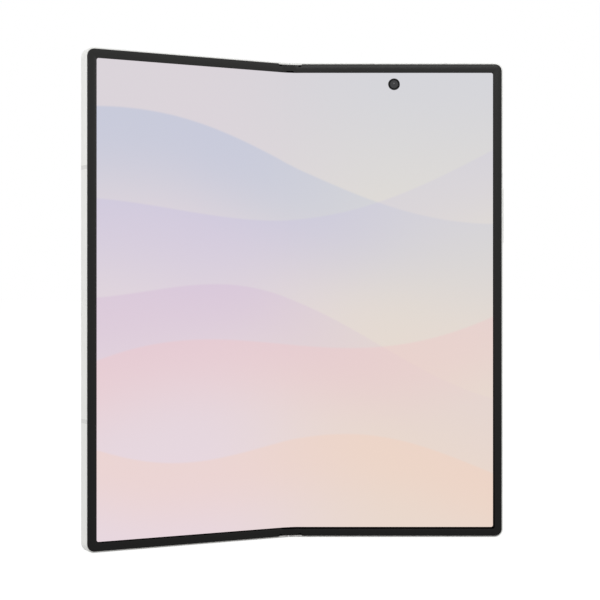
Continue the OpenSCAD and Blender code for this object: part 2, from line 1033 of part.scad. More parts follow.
module right_hinge_screws() {
  color(steel_grey)
    in_right()
      hinge_screws(right_arc_z);
}

module left_hinge_screws() {
  color(steel_grey)
    in_left()
      hinge_screws(left_arc_z);
}

// Idler gears, turned from flat to the rest pose with the halves. The right idler shows its half a gap
// and the left one a tooth, so that the two idlers mesh with each other as well.
module idler_gears(side, turn_back) {
  first_tooth = side > 0 ? 180 + mesh_angle + tooth_pitch / 2 : -mesh_angle;
  for (z = module_starts)
    translate([side * idler_x, idler_y, z + gear_z[0] + gear_end_gap])
      gear(first_tooth + turn_back, idler_shaft_r + hinge_run);
}

module right_idler_gears() {
  color(brass_tone)
    in_spine()
      idler_gears(1, rest_turn);
}

module left_idler_gears() {
  color(brass_tone)
    in_spine()
      idler_gears(-1, -rest_turn);
}

// ---------------------------------------------------------------- what bends at the fold

// A point of a sheet that is fixed to the spine at the fold line and to a half at the zone's edge
function eased(t) = t * t * (3 - 2 * t);
function zone_turn(x) = rest_turn * eased(min(abs(x) / zone_w, 1));
function zone_point(x, y) =
  x >= 0 ? turned([x, y], right_axis, -zone_turn(x)) : turned([x, y], left_axis, zone_turn(x));

// Section of a bent sheet between two depths
module bent_section(reach, y0, y1) {
  steps = 24;
  xs = [for (i = [0:steps]) -reach + 2 * reach * i / steps];
  polygon(concat(
    [for (x = xs) zone_point(x, y0)],
    [for (i = [steps:-1:0]) zone_point(xs[i], y1)]
  ));
}

module bent_sheet(reach, y0, y1, z0, z1) {
  in_spine()
    translate([0, 0, z0])
      linear_extrude(height = z1 - z0)
        bent_section(reach, y0, y1);
}

zone_gap = 0.02;
strip_lift = 0.15;

module display_fold_zone() {
  color(screen_tint)
    bent_sheet(zone_w - zone_gap, 0, flex_t, panel_inset, height - panel_inset);
}

module fold_bezel_top() {
  color(bezel_black)
    bent_sheet(zone_w - zone_gap, -rim_h, -strip_lift, height - rim_w, height - rim_inset - zone_step);
}

module fold_bezel_bottom() {
  color(bezel_black)
    bent_sheet(zone_w - zone_gap, -rim_h, -strip_lift, rim_inset + zone_step, rim_w);
}

// Flat cable between the halves, through the open middle of the spine
module hinge_flex() {
  color(brass_tone)
    bent_sheet(flex_x1, plate_y0 + 0.1, plate_y0 + 0.1 + cable_t, flex_z - flex_w / 2, flex_z + flex_w / 2);
}

// ---------------------------------------------------------------- left half, inside

module left_battery() {
  color(part_black)
    in_left()
      block([pack_x0, bay_y0, left_pack_z[0]], [pack_x1, cover_panel_y0 - 0.15, left_pack_z[1]]);
}

module left_board() {
  color(board_green)
    in_left()
      board(left_low, left_high, left_screws);
}

module cover_camera() {
  color(part_black)
    in_left() {
      post(cover_cam_x, cover_cam_z, cover_cam_r, cover_panel_y0 - 0.2, glass_y0 - glue);
      block([cover_cam_x - 3.5, bay_y0, cover_cam_z - 3.5],
        [cover_cam_x + 3.5, cover_panel_y0 - 0.1, cover_cam_z + 3.5]);
    }
}

module earpiece() {
  color(part_black)
    in_left()
      block([ear_x[0], bay_y0, bay_z1 - 6.4], [ear_x[1], cover_panel_y0 - 0.2, bay_z1 - 0.4]);
}

module left_magnets() {
  color(steel_grey)
    in_left()
      magnets();
}

module left_board_screws() {
  color(steel_grey)
    in_left()
      board_screws(left_screws);
}

module right_board_screws() {
  color(steel_grey)
    in_right()
      board_screws(right_screws);
}

// Pressed sleeve that holds the card tray
module card_reader() {
  wall = reader_wall;
  room = reader_room;
  low = [tray_x - tray_w / 2 - room, tray_y - tray_t / 2 - room, bay_z1 - tray_len - 2 * room];
  high = [tray_x + tray_w / 2 + room, tray_y + tray_t / 2 + room, bay_z1 - room];
  color(steel_grey)
    in_left()
      difference() {
        block(low - [wall, wall, wall], high + [wall, wall, 0]);
        block(low, high + [0, 0, 1]);
      }
}

// Tray with two card pockets and its door in the top edge
module card_tray() {
  color(frame_white)
    in_left() {
      difference() {
        block([tray_x - tray_w / 2, tray_y - tray_t / 2, height - side_wall - tray_len],
          [tray_x + tray_w / 2, tray_y + tray_t / 2, height - side_wall + eps]);
        for (front = [0, 1])
          block([tray_x - 6.2, tray_y - tray_t / 2 + front * 0.75 - eps, height - side_wall - tray_len + 1.5],
            [tray_x + 6.2, tray_y - tray_t / 2 + 0.35 + front * 0.75 + eps, height - side_wall - 3]);
      }
      difference() {
        translate([tray_x, tray_y, height - side_wall])
          linear_extrude(height = side_wall)
            stadium(door_w, door_t);
        wall_hole(tray_x + door_w / 2 - 1.6, tray_y, 0.35, height - side_wall);
      }
    }
}

right_frame();
right_antenna_breaks();
right_mid_plate();
right_back_glass();
right_bezel();
right_display_panel();
right_battery();
main_board();
board_shields();
sub_board();
inner_camera();
inner_camera_lens();
camera_island();
rear_cameras();
lens_rings();
lens_glasses();
flash_lamp();
loudspeaker();
usb_shell();
usb_tongue();
vibration_motor();
key_switches();
right_hinge_arms();
right_hinge_screws();
right_magnets();
charging_coil();
right_board_screws();
volume_key();
side_key();
spine_cover();
spine_end_caps();
hinge_bases();
gear_shafts();
friction_washers();
display_fold_zone();
fold_bezel_top();
fold_bezel_bottom();
hinge_flex();
right_idler_gears();
left_idler_gears();
left_frame();
left_antenna_breaks();
left_mid_plate();
cover_glass();
cover_display();
left_bezel();
left_display_panel();
left_battery();
left_board();
cover_camera();
earpiece();
left_hinge_arms();
left_hinge_screws();
left_magnets();
card_reader();
left_board_screws();
card_tray();
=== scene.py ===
"""A foldable smartphone, standing part open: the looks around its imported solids."""
import json
import math

import bmesh
import bpy
from mathutils import Matrix, Vector

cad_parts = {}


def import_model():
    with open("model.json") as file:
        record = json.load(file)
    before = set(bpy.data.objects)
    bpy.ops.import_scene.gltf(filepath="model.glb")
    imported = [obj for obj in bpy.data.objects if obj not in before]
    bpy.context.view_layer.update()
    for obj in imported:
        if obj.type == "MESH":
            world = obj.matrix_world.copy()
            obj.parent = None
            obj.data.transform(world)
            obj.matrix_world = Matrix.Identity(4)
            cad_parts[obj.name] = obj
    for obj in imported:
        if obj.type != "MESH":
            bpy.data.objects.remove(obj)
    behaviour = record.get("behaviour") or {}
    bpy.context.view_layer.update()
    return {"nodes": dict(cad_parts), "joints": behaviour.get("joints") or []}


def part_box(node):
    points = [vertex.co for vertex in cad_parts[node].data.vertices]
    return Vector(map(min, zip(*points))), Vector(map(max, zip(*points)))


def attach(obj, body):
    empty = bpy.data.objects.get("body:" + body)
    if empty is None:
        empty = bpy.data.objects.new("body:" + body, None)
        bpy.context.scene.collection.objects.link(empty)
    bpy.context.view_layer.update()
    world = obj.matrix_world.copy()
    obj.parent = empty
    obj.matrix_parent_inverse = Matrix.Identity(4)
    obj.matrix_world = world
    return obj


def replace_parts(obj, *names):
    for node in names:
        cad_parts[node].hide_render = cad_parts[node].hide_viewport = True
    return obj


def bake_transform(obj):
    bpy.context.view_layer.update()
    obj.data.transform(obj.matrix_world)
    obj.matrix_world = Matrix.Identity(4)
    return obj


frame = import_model()
NODES = frame["nodes"]

# ---------------------------------------------------------------- sizes, in mm

MM = 0.001

# The fold: how far the display bends to each side, and its foot, on the display's front
ZONE_W = 4.4
ZONE_GAP = 0.005
ZONE_CUTS = 14
panel_low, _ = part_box("right_display_panel")
frame_low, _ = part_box("right_frame")
FOLD_FOOT = Vector((panel_low.x - ZONE_W * MM, panel_low.y, frame_low.z))


def from_foot(point):
    """A point of the frame, in mm from the foot of the fold, to a thousandth."""
    return [round(v, 3) for v in (Vector(point) - FOLD_FOOT) / MM]


def corners(node):
    """The lowest and highest corner of a node, in mm from the foot of the fold."""
    return [from_foot(corner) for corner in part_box(node)]


# The turning axis of the right half, and how far each half stands from flat about its own
fold_joint = next(joint for joint in frame["joints"] if joint["name"] == "fold")
AXIS_X, AXIS_Y, _ = from_foot(fold_joint["pos_m"])
REST_TURN = -fold_joint["range_deg"][0]

# The closed half: its outline, and the display sheet let into its front
_, (HALF_W, BODY_T, HEIGHT) = corners("right_frame")
(_, _, PANEL_INSET), (_, PANEL_T, _) = corners("right_display_panel")
CORNER_R = 2.8
PANEL_CORNER = 1.25
FLEX_T = 0.35
FLEX_END = ZONE_W + 0.1

# The raised rim, its dark seal, and its flexible ends over the hinge; where the seal shows inside the rim it
# is partly a painted shadow
(_, rim_front, RIM_INSET), _ = corners("right_bezel")
(_, _, STRIP_IN), (_, _, RIM_W) = corners("fold_bezel_bottom")
RIM_H = -rim_front
RIM_PLAY = 0.03
RIM_SOFT = 0.12
SCREEN_R = 0.65
CROWN = 0.19
# The seal shows inside the rim as a painted shadow; this is the widest it shows.
WIDEST_SEAL_SHADOW = 0.5
SEAL_W = 0.7
SEAL_H = 0.06
STRIP_LIFT = 0.15
STRIP_SOFT = 0.08
# A notch in the top of the rim's flexible end shows the black seal: a painted shadow at the middle of the
# fold.
NOTCH_SHADE_W = 1.6
NOTCH_SHADE_SLOPE = 0.5
# Black patches laid on the strip beside each end of the rim: a painted shadow in the slot there.
SLOT_ENDS = (3.2, 4.25)
SLOT_H = 0.44
SLOT_T = 0.1
SLOT_CORNER = 0.1
SLOT_IN = 0.4
SLOT_LIFT = 0.02

# The flat cable across the hinge
(_, _, CABLE_LOW), (CABLE_END, _, CABLE_HIGH) = corners("hinge_flex")
CABLE_Y = 1.15
CABLE_T = 0.15

# The inner camera, in its hole in the display
(lens_x0, _, lens_z0), (lens_x1, _, lens_z1) = corners("inner_camera_lens")
INNER_CAM = ((lens_x0 + lens_x1) / 2, (lens_z0 + lens_z1) / 2)
INNER_CAM_R = (lens_x1 - lens_x0) / 2
INNER_HOLE_R = INNER_CAM_R + 0.08
INNER_SQUARE = 3.4
INNER_LENS_R = 1.34
INNER_LENS_BACK = 0.28

# The camera island, with its rear cameras one above the other
(island_x0, _, _), (island_x1, ISLAND_Y, _) = corners("camera_island")
ISLAND_X = (island_x0 + island_x1) / 2
ISLAND_R = (island_x1 - island_x0) / 2
ISLAND_SOFT = 0.5
ISLAND_PLAY = 0.15
(cams_x0, _, cams_z0), (cams_x1, _, cams_z1) = corners("rear_cameras")
cam_half = (cams_x1 - cams_x0) / 2
CAM_ZS = (cams_z1 - cam_half, (cams_z0 + cams_z1) / 2, cams_z0 + cam_half)
CAM_R = 5.2
_, (ring_x1, RING_TOP, _) = corners("lens_rings")
RING_R = ring_x1 - ISLAND_X
(glass_x0, GLASS_BACK, _), _ = corners("lens_glasses")
GLASS_R = ISLAND_X - glass_x0
GLASS_PLAY = 0.05

# The flash beside the island, and the cover camera in the left half
FLASH = (ISLAND_X - 13.3, HEIGHT - 22)
FLASH_R = 2.0
FLASH_T = 1.05
FLASH_STEPS = 6
COVER_CAM = (38.5, HEIGHT - 8)
COVER_CAM_R = 1.9

# ---------------------------------------------------------------- places


def about(x, y, degrees):
    """A turn about an upright line through x, y."""
    centre = Matrix.Translation((x, y, 0))
    return centre @ Matrix.Rotation(math.radians(degrees), 4, "Z") @ centre.inverted()


RIGHT = Matrix.Translation(FOLD_FOOT) @ Matrix.Scale(MM, 4)
SPINE = RIGHT @ about(AXIS_X, AXIS_Y, REST_TURN)
LEFT = SPINE @ about(-AXIS_X, AXIS_Y, REST_TURN) @ Matrix.Scale(-1, 4, (1, 0, 0))


def eased(t):
    t = min(max(t, 0.0), 1.0)
    return t * t * (3 - 2 * t)


def bend_zone(bm):
    """Lays a flat strip on the curve that the display takes over the hinge, in the right half's own frame."""
    for v in bm.verts:
        angle = REST_TURN * (1 - eased(v.co.x / ZONE_W))
        v.co = about(AXIS_X, AXIS_Y, angle) @ v.co


# ---------------------------------------------------------------- shape tools


def finished(bm, name, place, body, material, angle=35.0, blend=None):
    """Turns a mesh drawn in mm in a half's flat frame into a piece that rides in place."""
    bmesh.ops.remove_doubles(bm, verts=bm.verts, dist=1e-4)
    bmesh.ops.transform(bm, matrix=place, verts=bm.verts)
    bmesh.ops.recalc_face_normals(bm, faces=bm.faces)
    mesh = bpy.data.meshes.new(name)
    bm.to_mesh(mesh)
    bm.free()
    mesh.shade_smooth()
    mesh.set_sharp_from_angle(angle=math.radians(angle))
    piece = bpy.data.objects.new(name, mesh)
    bpy.context.scene.collection.objects.link(piece)
    mesh.materials.append(material)
    if blend:
        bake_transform(piece)
    else:
        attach(piece, body)
    return piece


def rectangle(bm, x0, x1, z0, z1, y=0.0, cuts_x=1, cuts_z=1):
    """A flat sheet that faces -y."""
    made = bmesh.ops.create_grid(bm, x_segments=cuts_x, y_segments=cuts_z, size=0.5)
    verts = made["verts"]
    size = Matrix.Diagonal((x1 - x0, z1 - z0, 1, 1))
    stand = Matrix.Rotation(math.radians(90), 4, "X")
    middle = Matrix.Translation(((x0 + x1) / 2, y, (z0 + z1) / 2))
    bmesh.ops.transform(bm, matrix=middle @ stand @ size, verts=verts)
    return verts


def rounded_corners(bm, verts, x, r, segments=8):
    """Rounds the corners of a flat sheet that lie at x."""
    corners = [v for v in verts if abs(v.co.x - x) < 1e-5]
    bmesh.ops.bevel(bm, geom=corners, offset=r, offset_type="OFFSET", segments=segments,
                    profile=0.5, affect="VERTICES", material=-1)


def thicken(bm, depth):
    """Gives a flat sheet a back, depth further along +y."""
    made = bmesh.ops.extrude_face_region(bm, geom=list(bm.faces))
    back = [g for g in made["geom"] if isinstance(g, bmesh.types.BMVert)]
    bmesh.ops.translate(bm, verts=back, vec=(0, depth, 0))
    return back


def soften(bm, edges, offset, segments=3):
    bmesh.ops.bevel(bm, geom=list(edges), offset=offset, offset_type="OFFSET", segments=segments,
                    profile=0.5, affect="EDGES", clamp_overlap=True, material=-1)


def sharp_edges(bm, degrees=40):
    limit = math.radians(degrees)
    return [e for e in bm.edges if len(e.link_faces) == 2 and e.calc_face_angle(0) > limit]


def open_outline(bm, y, r, top, side, bottom, taper=0.0):
    """The line round a half from the fold to the fold, set in from its outer edges.

    taper brings the outer side back out by that much at the foot, and by nothing at the top.
    """
    x1 = HALF_W - side
    line = bmesh.new()
    verts = rectangle(line, ZONE_W, x1, bottom, HEIGHT - top, y)
    rounded_corners(line, verts, x1, r)
    bmesh.ops.delete(line, geom=list(line.faces), context="FACES_ONLY")
    fold = [e for e in line.edges if all(abs(v.co.x - ZONE_W) < 1e-5 for v in e.verts)]
    bmesh.ops.delete(line, geom=fold, context="EDGES")
    for v in line.verts:
        v.co.x += taper * (1 - v.co.z / HEIGHT) * (v.co.x > ZONE_W + 1)
    mesh = bpy.data.meshes.new("line")
    line.to_mesh(mesh)
    line.free()
    bm.from_mesh(mesh)
    bpy.data.meshes.remove(mesh)


def lathe(points, steps=48):
    """A turned shape about the y axis from (radius, y) points; a radius of 0 closes it."""
    bm = bmesh.new()
    verts = [bm.verts.new((r, y, 0)) for r, y in points]
    edges = [bm.edges.new(pair) for pair in zip(verts, verts[1:])]
    bmesh.ops.spin(bm, geom=verts + edges, cent=(0, 0, 0), axis=(0, 1, 0),
                   angle=math.tau, steps=steps, use_merge=True)
    bmesh.ops.remove_doubles(bm, verts=bm.verts, dist=1e-5)
    return bm


def moved(bm, x=0.0, y=0.0, z=0.0):
    bmesh.ops.translate(bm, verts=bm.verts, vec=(x, y, z))
    return bm


# ---------------------------------------------------------------- material tools


def add(tree, kind, **settings):
    made = tree.nodes.new("ShaderNode" + kind)
    for key, value in settings.items():
        setattr(made, key, value)
    return made


def math_node(tree, operation, a, b=None):
    made = add(tree, "Math", operation=operation)
    for socket, value in zip(made.inputs, (a, b)):
        if value is None:
            continue
        if isinstance(value, (int, float)):
            socket.default_value = value
        else:
            tree.links.new(value, socket)
    return made.outputs[0]


def new_group(name, inputs, outputs):
    tree = bpy.data.node_groups.new(name, "ShaderNodeTree")
    for label, kind, default in inputs:
        socket = tree.interface.new_socket(name=label, in_out="INPUT", socket_type=kind)
        if default is not None:
            socket.default_value = default
    for label, kind in outputs:
        tree.interface.new_socket(name=label, in_out="OUTPUT", socket_type=kind)
    return tree, tree.nodes.new("NodeGroupInput"), tree.nodes.new("NodeGroupOutput")


def grain_group():
    """A fine even grain, as blasting or moulding leaves, with a soft cloud over it."""
    tree, given, out = new_group("fine_grain", [
        ("Vector", "NodeSocketVector", None), ("Scale", "NodeSocketFloat", 4000.0),
        ("Cloud", "NodeSocketFloat", 60.0)],
        [("Height", "NodeSocketFloat"), ("Cloud", "NodeSocketFloat")])
    fine = add(tree, "TexNoise")
    fine.inputs["Detail"].default_value = 3.0
    fine.inputs["Roughness"].default_value = 0.6
    cloud = add(tree, "TexNoise")
    cloud.inputs["Detail"].default_value = 2.0
    for noise, label in ((fine, "Scale"), (cloud, "Cloud")):
        tree.links.new(given.outputs["Vector"], noise.inputs["Vector"])
        tree.links.new(given.outputs[label], noise.inputs["Scale"])
    tree.links.new(fine.outputs["Fac"], out.inputs["Height"])
    tree.links.new(cloud.outputs["Fac"], out.inputs["Cloud"])
    return tree


def brushed_group():
    """Fine lines along z, as drawing or grinding leaves."""
    tree, given, out = new_group("brushed_lines", [
        ("Vector", "NodeSocketVector", None), ("Scale", "NodeSocketFloat", 3000.0)],
        [("Height", "NodeSocketFloat")])
    stretch = add(tree, "Mapping")
    stretch.inputs["Scale"].default_value = (1.0, 1.0, 0.02)
    lines = add(tree, "TexNoise")
    lines.inputs["Detail"].default_value = 2.0
    tree.links.new(given.outputs["Vector"], stretch.inputs["Vector"])
    tree.links.new(stretch.outputs["Vector"], lines.inputs["Vector"])
    tree.links.new(given.outputs["Scale"], lines.inputs["Scale"])
    tree.links.new(lines.outputs["Fac"], out.inputs["Height"])
    return tree


def spread_group():
    """Maps a 0 to 1 value on to a range."""
    tree, given, out = new_group("spread", [
        ("Value", "NodeSocketFloat", 0.5), ("Low", "NodeSocketFloat", 0.0),
        ("High", "NodeSocketFloat", 1.0)], [("Result", "NodeSocketFloat")])
    spread = add(tree, "MapRange")
    spread.inputs["From Min"].default_value = 0.3
    spread.inputs["From Max"].default_value = 0.7
    tree.links.new(given.outputs["Value"], spread.inputs["Value"])
    tree.links.new(given.outputs["Low"], spread.inputs["To Min"])
    tree.links.new(given.outputs["High"], spread.inputs["To Max"])
    tree.links.new(spread.outputs["Result"], out.inputs["Result"])
    return tree


def painted_light_ramp_group():
    """A value that goes from low at the foot of the phone to high at its top, used for painted light and
    shade.
    """
    tree, given, out = new_group("painted_light_ramp", [
        ("Vector", "NodeSocketVector", None), ("Low", "NodeSocketFloat", 0.0),
        ("High", "NodeSocketFloat", 1.0)], [("Value", "NodeSocketFloat")])
    split = add(tree, "SeparateXYZ")
    level = add(tree, "MapRange")
    level.inputs["From Max"].default_value = HEIGHT * MM
    tree.links.new(given.outputs["Vector"], split.inputs["Vector"])
    tree.links.new(split.outputs["Z"], level.inputs["Value"])
    tree.links.new(given.outputs["Low"], level.inputs["To Min"])
    tree.links.new(given.outputs["High"], level.inputs["To Max"])
    tree.links.new(level.outputs["Result"], out.inputs["Value"])
    return tree


GRAIN = grain_group()
BRUSHED = brushed_group()
SPREAD = spread_group()
PAINTED_LIGHT_RAMP = painted_light_ramp_group()


def placed_group(tree, group, **values):
    made = tree.nodes.new("ShaderNodeGroup")
    made.node_tree = group
    for label, value in values.items():
        if isinstance(value, (int, float)):
            made.inputs[label].default_value = value
        else:
            tree.links.new(value, made.inputs[label])
    return made


def blank_material(name):
    material = bpy.data.materials.new(name)
    material.use_nodes = True
    tree = material.node_tree
    return material, tree, tree.nodes["Principled BSDF"]


def surface(name, light, dark, rough, metallic=0.0, grain=4000.0, cloud=60.0, bump=0.02,
            brushed=False, specular=0.5, coat=0.0, painted_shading=None, painted_sheen=None):
    """A finish: colour between light and dark, roughness between two values and a fine bump.

    The first height range scales the colour, a painted shade darker at the foot and lighter at the top; the
    second sets the coat, a painted sheen that grows towards the top.
    """
    material, tree, bsdf = blank_material(name)
    bsdf.inputs["Metallic"].default_value = metallic
    bsdf.inputs["Specular IOR Level"].default_value = specular
    bsdf.inputs["Coat Weight"].default_value = coat
    bsdf.inputs["Coat Roughness"].default_value = 0.08
    place = add(tree, "TexCoord").outputs["Object"]
    marks = placed_group(tree, GRAIN, Vector=place, Scale=grain, Cloud=cloud)
    height = marks.outputs["Height"]
    if brushed:
        height = placed_group(tree, BRUSHED, Vector=place, Scale=grain).outputs["Height"]
    tint = add(tree, "Mix", data_type="RGBA")
    tint.inputs["A"].default_value = (*dark, 1)
    tint.inputs["B"].default_value = (*light, 1)
    shade = placed_group(tree, SPREAD, Value=marks.outputs["Cloud"], Low=0.0, High=1.0)
    tree.links.new(shade.outputs["Result"], tint.inputs["Factor"])
    colour = tint.outputs["Result"]
    # Painted shade: the colour darkens towards the foot and lightens towards the top.
    if painted_shading:
        shaded = add(tree, "Mix", data_type="RGBA", blend_type="MULTIPLY")
        shaded.inputs["Factor"].default_value = 1.0
        tree.links.new(colour, shaded.inputs["A"])
        level = placed_group(tree, PAINTED_LIGHT_RAMP, Vector=place, Low=painted_shading[0], High=painted_shading[1])
        tree.links.new(level.outputs["Value"], shaded.inputs["B"])
        colour = shaded.outputs["Result"]
    # Painted sheen: the coat grows stronger towards the top.
    if painted_sheen:
        bsdf.inputs["Coat Roughness"].default_value = 0.3
        level = placed_group(tree, PAINTED_LIGHT_RAMP, Vector=place, Low=painted_sheen[0], High=painted_sheen[1])
        tree.links.new(level.outputs["Value"], bsdf.inputs["Coat Weight"])
    tree.links.new(colour, bsdf.inputs["Base Color"])
    gloss = placed_group(tree, SPREAD, Value=height, Low=rough[0], High=rough[1])
    tree.links.new(gloss.outputs["Result"], bsdf.inputs["Roughness"])
    relief = add(tree, "Bump")
    relief.inputs["Strength"].default_value = 0.4
    relief.inputs["Distance"].default_value = bump * MM
    tree.links.new(height, relief.inputs["Height"])
    tree.links.new(relief.outputs["Normal"], bsdf.inputs["Normal"])
    return material


# ---------------------------------------------------------------- wallpaper


def veil_group():
    """A soft hill: strongest along its crest and fading away below it."""
    tree, given, out = new_group("veil", [
        ("Across", "NodeSocketFloat", 0.0), ("Up", "NodeSocketFloat", 0.0),
        ("Level", "NodeSocketFloat", 0.5), ("Slope", "NodeSocketFloat", 0.0),
        ("Swell", "NodeSocketFloat", 0.1), ("Rate", "NodeSocketFloat", 5.0),
        ("Shift", "NodeSocketFloat", 0.0), ("Fade", "NodeSocketFloat", 0.3)],
        [("Mask", "NodeSocketFloat")])
    across, up = given.outputs["Across"], given.outputs["Up"]
    wave = math_node(tree, "MULTIPLY", across, given.outputs["Rate"])
    wave = math_node(tree, "SINE", math_node(tree, "ADD", wave, given.outputs["Shift"]))
    wave = math_node(tree, "MULTIPLY", wave, given.outputs["Swell"])
    lean = math_node(tree, "MULTIPLY", across, given.outputs["Slope"])
    crest = math_node(tree, "ADD", math_node(tree, "ADD", wave, lean), given.outputs["Level"])
    below = math_node(tree, "SUBTRACT", crest, up)
    edge = add(tree, "MapRange", interpolation_type="SMOOTHSTEP")
    edge.inputs["From Max"].default_value = 0.006
    tree.links.new(below, edge.inputs["Value"])
    fade = add(tree, "MapRange", interpolation_type="SMOOTHERSTEP")
    fade.inputs["To Min"].default_value = 1.0
    fade.inputs["To Max"].default_value = 0.0
    tree.links.new(below, fade.inputs["Value"])
    tree.links.new(given.outputs["Fade"], fade.inputs["From Max"])
    mask = math_node(tree, "MULTIPLY", edge.outputs["Result"], fade.outputs["Result"])
    tree.links.new(mask, out.inputs["Mask"])
    return tree


def srgb(r, g, b):
    """A colour given as it looks on a screen."""
    def linear(c):
        c /= 255
        return c / 12.92 if c <= 0.04045 else ((c + 0.055) / 1.055) ** 2.4
    return (linear(r), linear(g), linear(b), 1.0)


def blended(tree, mask, a, b):
    made = add(tree, "Mix", data_type="RGBA")
    for socket, value in zip((made.inputs["Factor"], made.inputs["A"], made.inputs["B"]), (mask, a, b)):
        if isinstance(value, (tuple, float)):
            socket.default_value = value
        else:
            tree.links.new(value, socket)
    return made.outputs["Result"]


def ramp(tree, value, low, high):
    made = add(tree, "MapRange", interpolation_type="SMOOTHSTEP")
    made.inputs["From Min"].default_value = low
    made.inputs["From Max"].default_value = high
    tree.links.new(value, made.inputs["Value"])
    return made.outputs["Result"]


# Hills from back to front: level, slope, swell, rate, shift, fade, strength on the left and right, colour
HILLS = [
    (0.86, -0.16, 0.055, 5.2, 0.4, 0.30, 0.52, 0.22, srgb(178, 191, 218)),
    (0.64, 0.20, 0.075, 4.4, 2.1, 0.28, 0.42, 0.20, srgb(198, 190, 224)),
    (0.56, -0.22, 0.060, 6.1, 5.2, 0.26, 0.40, 0.10, srgb(212, 184, 214)),
    (0.30, 0.24, 0.070, 4.8, 0.9, 0.24, 0.42, 0.38, srgb(238, 196, 198)),
    (0.24, -0.10, 0.045, 6.8, 3.3, 0.22, 0.36, 0.40, srgb(243, 206, 186)),
]
DISPLAY_GLOW = 0.95


def display_material():
    material, tree, bsdf = blank_material("lit_display")
    veil = veil_group()
    split = add(tree, "SeparateXYZ")
    tree.links.new(add(tree, "UVMap", uv_map="flat").outputs["UV"], split.inputs["Vector"])
    across, up = split.outputs["X"], split.outputs["Y"]
    left = blended(tree, ramp(tree, up, 0.0, 1.0), srgb(231, 214, 222), srgb(218, 211, 217))
    right = blended(tree, ramp(tree, up, 0.05, 0.8), srgb(233, 215, 203), srgb(223, 219, 213))
    right = blended(tree, ramp(tree, up, 0.6, 1.0), right, srgb(212, 212, 217))
    picture = blended(tree, ramp(tree, across, 0.25, 0.75), left, right)
    rightwards = ramp(tree, across, 0.3, 0.85)
    for level, slope, swell, rate, shift, fade, strong, weak, colour in HILLS:
        hill = placed_group(tree, veil, Across=across, Up=up, Level=level, Slope=slope,
                            Swell=swell, Rate=rate, Shift=shift, Fade=fade)
        strength = math_node(tree, "ADD", math_node(tree, "MULTIPLY", rightwards, weak - strong), strong)
        mask = math_node(tree, "MULTIPLY", hill.outputs["Mask"], strength)
        picture = blended(tree, mask, picture, colour)
    tree.links.new(picture, bsdf.inputs["Emission Color"])
    bsdf.inputs["Emission Strength"].default_value = DISPLAY_GLOW
    bsdf.inputs["Base Color"].default_value = (0.012, 0.012, 0.013, 1)
    bsdf.inputs["Specular IOR Level"].default_value = 0.4
    smudge = placed_group(tree, GRAIN, Vector=add(tree, "TexCoord").outputs["Object"],
                          Scale=900.0, Cloud=35.0)
    gloss = placed_group(tree, SPREAD, Value=smudge.outputs["Cloud"], Low=0.10, High=0.16)
    tree.links.new(gloss.outputs["Result"], bsdf.inputs["Roughness"])
    return material


# ---------------------------------------------------------------- finishes

# The frame's colour carries painted shade, a little darker towards the foot.
FRAME_WHITE = surface("blasted_white", (0.86, 0.86, 0.835), (0.83, 0.83, 0.805), (0.42, 0.52),
                      painted_shading=(0.95, 1.03))
BREAK_PLASTIC = surface("break_plastic", (0.72, 0.72, 0.70), (0.69, 0.69, 0.67), (0.45, 0.55))
BACK_GLASS = surface("frosted_glass", (0.85, 0.85, 0.835), (0.83, 0.83, 0.815), (0.24, 0.32),
                     grain=9000.0, bump=0.006)
ISLAND_METAL = surface("island_white", (0.84, 0.84, 0.825), (0.81, 0.81, 0.795), (0.38, 0.48))
# The rim's colour carries painted shade, much darker towards the foot, and its coat a painted sheen towards
# the top.
BEZEL_BLACK = surface("bezel_black", (0.013, 0.013, 0.0123), (0.011, 0.011, 0.0104), (0.44, 0.54),
                      grain=5000.0, bump=0.01, specular=0.1, painted_shading=(0.25, 1.2), painted_sheen=(0.09, 0.24))
# Black for the seal, partly a painted shadow, and for the patches of painted shadow in the slots.
SEAL_AND_SHADOW_BLACK = surface("seal_and_shadow_black", (0.0025, 0.0025, 0.0025), (0.0015, 0.0015, 0.0015), (0.7, 0.8),
                     specular=0.02)
PLATE_METAL = surface("milled_plate", (0.60, 0.61, 0.63), (0.52, 0.53, 0.55), (0.3, 0.42),
                      metallic=1.0, brushed=True)
BATTERY = surface("battery_wrap", (0.045, 0.045, 0.05), (0.03, 0.03, 0.034), (0.4, 0.6), grain=1500.0)
BOARD = surface("solder_mask", (0.035, 0.15, 0.09), (0.02, 0.09, 0.055), (0.25, 0.4), cloud=300.0)
PART_BLACK = surface("moulded_black", (0.028, 0.028, 0.03), (0.02, 0.02, 0.022), (0.35, 0.5))
RING_METAL = surface("turned_ring", (0.72, 0.72, 0.71), (0.64, 0.64, 0.63), (0.22, 0.32), metallic=1.0)
CONTACT = surface("plated_contact", (0.80, 0.62, 0.33), (0.70, 0.53, 0.27), (0.25, 0.35), metallic=1.0)
COPPER = surface("lacquered_copper", (0.80, 0.42, 0.24), (0.66, 0.33, 0.18), (0.3, 0.42), metallic=1.0)
HINGE_STEEL = surface("tumbled_steel", (0.56, 0.57, 0.58), (0.46, 0.47, 0.48), (0.28, 0.42), metallic=1.0)
SCREW_STEEL = surface("turned_steel", (0.50, 0.50, 0.51), (0.42, 0.42, 0.43), (0.25, 0.35), metallic=1.0)
MAGNET = surface("nickel_plate", (0.46, 0.45, 0.43), (0.38, 0.37, 0.36), (0.18, 0.28), metallic=1.0)
SPINE_WHITE = surface("spine_white", (0.84, 0.84, 0.82), (0.80, 0.80, 0.785), (0.36, 0.46))
COVER_GLASS = surface("cover_black_glass", (0.012, 0.012, 0.014), (0.008, 0.008, 0.010),
                      (0.05, 0.09), grain=700.0, bump=0.0005)
LENS_GLASS = surface("coated_lens", (0.012, 0.014, 0.022), (0.006, 0.006, 0.010), (0.03, 0.06),
                     grain=700.0, bump=0.0005, coat=0.6)
